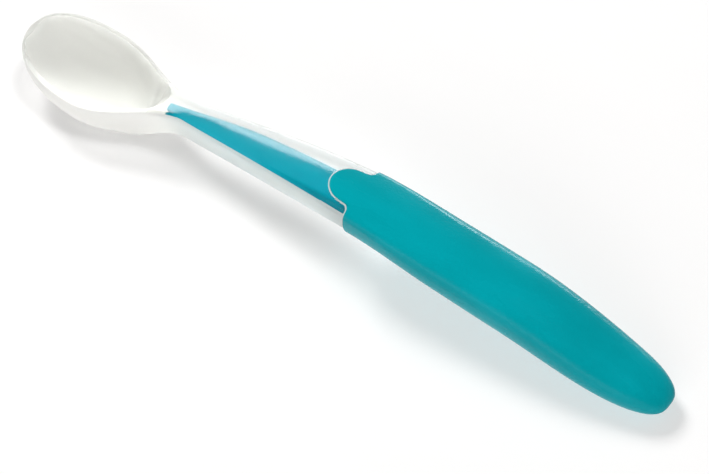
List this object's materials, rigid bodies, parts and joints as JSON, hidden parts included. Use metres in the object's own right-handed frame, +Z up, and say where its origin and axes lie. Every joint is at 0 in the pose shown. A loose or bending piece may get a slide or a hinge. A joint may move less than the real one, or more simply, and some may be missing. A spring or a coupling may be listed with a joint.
{
  "type": "baby spoon",
  "caption": "Long baby feeding spoon with a deep clear bowl and stem, a coloured core showing through, and a soft overmoulded grip with a lobed front edge.",
  "frame": {"origin": "on the table, under the middle of the spoon's length and width", "axes": "+X along the spoon from the bowl to the end of the handle, +Y to the spoon's left seen from the handle, +Z up out of the bowl"},
  "size_m": [0.17, 0.0228, 0.0203],
  "materials": {
    "clear_plastic": "clear to slightly milky moulded plastic, polished",
    "core_plastic": "turquoise moulded plastic, smooth",
    "soft_grip": "turquoise soft elastomer with a fine pebbled skin"
  },
  "bodies": {
    "root": {"bowl_and_stem": "clear_plastic", "handle_core": "core_plastic", "grip": "soft_grip"}
  },
  "joints": []
}
